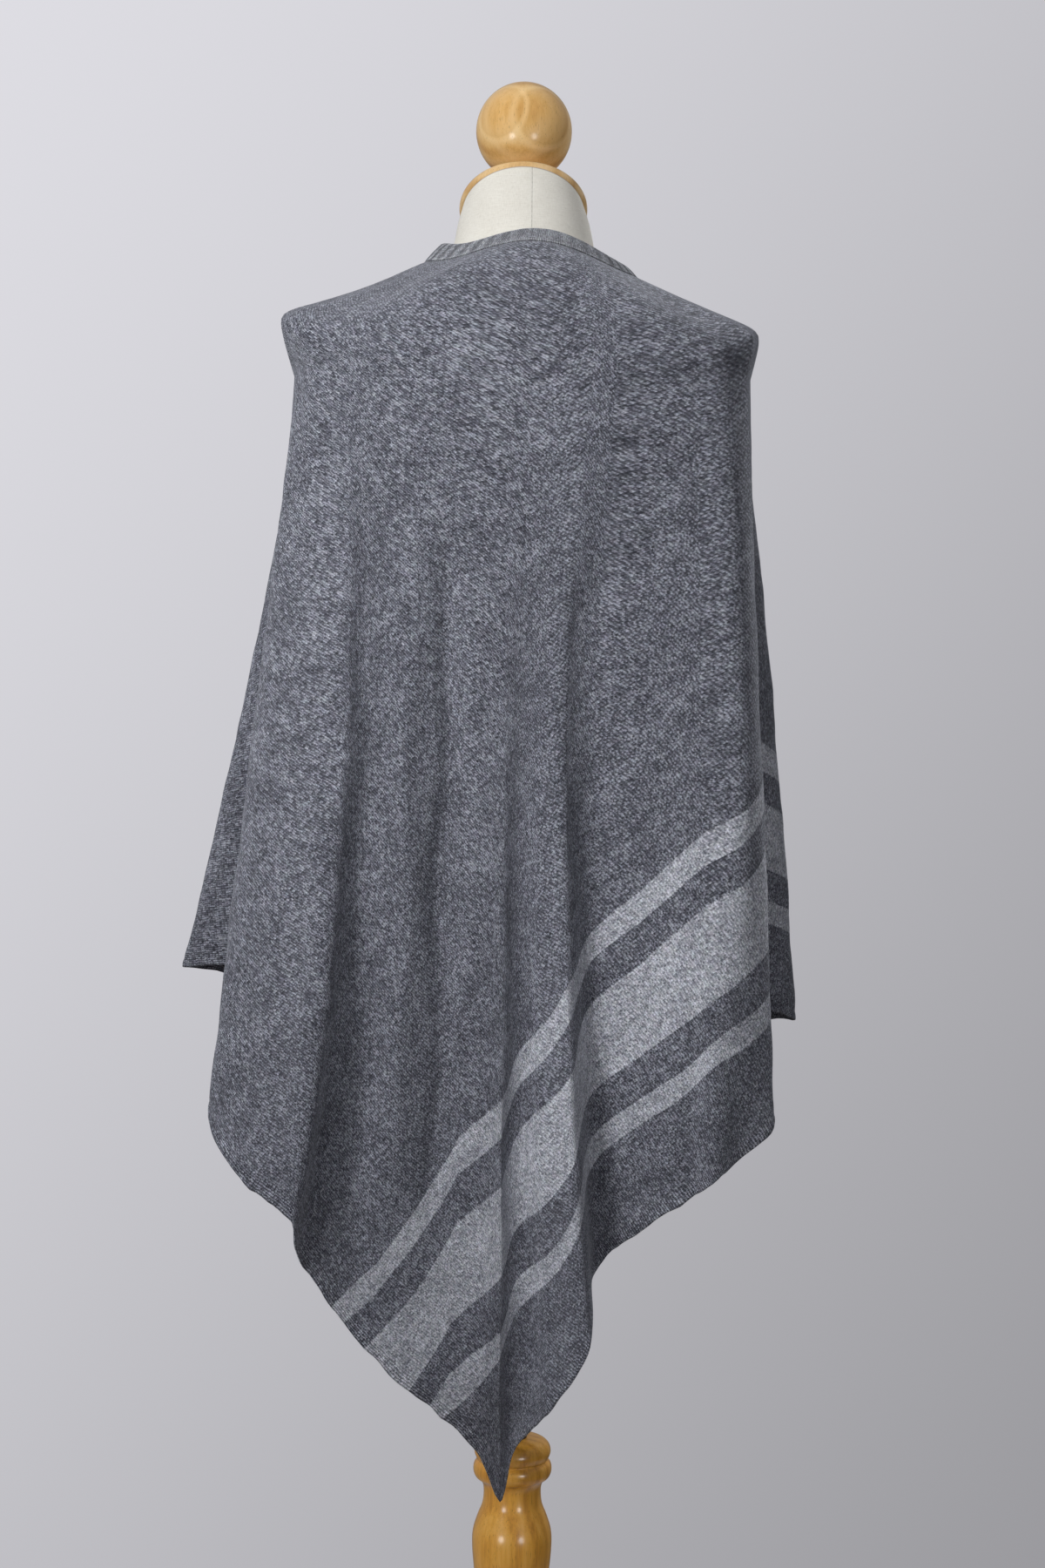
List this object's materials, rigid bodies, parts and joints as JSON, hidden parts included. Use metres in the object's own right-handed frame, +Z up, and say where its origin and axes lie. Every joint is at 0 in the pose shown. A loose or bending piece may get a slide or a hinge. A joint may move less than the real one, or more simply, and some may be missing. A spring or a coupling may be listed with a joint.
{
  "type": "knitted poncho sweater on a dress form",
  "caption": "Knitted square poncho sweater with slanting stripes and a ribbed neckband, hung by one corner over a limbless dress form with a turned wooden stand.",
  "frame": {"origin": "centre of the base's underside, on the floor", "axes": "+Z up, the wearer's back faces -Y, the wearer's left is -X"},
  "size_m": [0.5609, 0.35, 1.5638],
  "materials": {
    "dark_knit": "heathered mid-grey fine knit with a soft nap and light grey stripes",
    "light_knit": "heathered light grey rib knit",
    "linen": "plain-woven natural linen",
    "honey_wood": "satin to gloss varnish over fine grain",
    "pole_metal": "dark satin"
  },
  "bodies": {
    "root": {"back_panel": "dark_knit", "front_panel": "dark_knit", "neckband": "light_knit", "torso": "linen", "neck_cap": "honey_wood", "finial": "honey_wood", "pole": "pole_metal", "column": "honey_wood", "base": "honey_wood"}
  },
  "joints": []
}
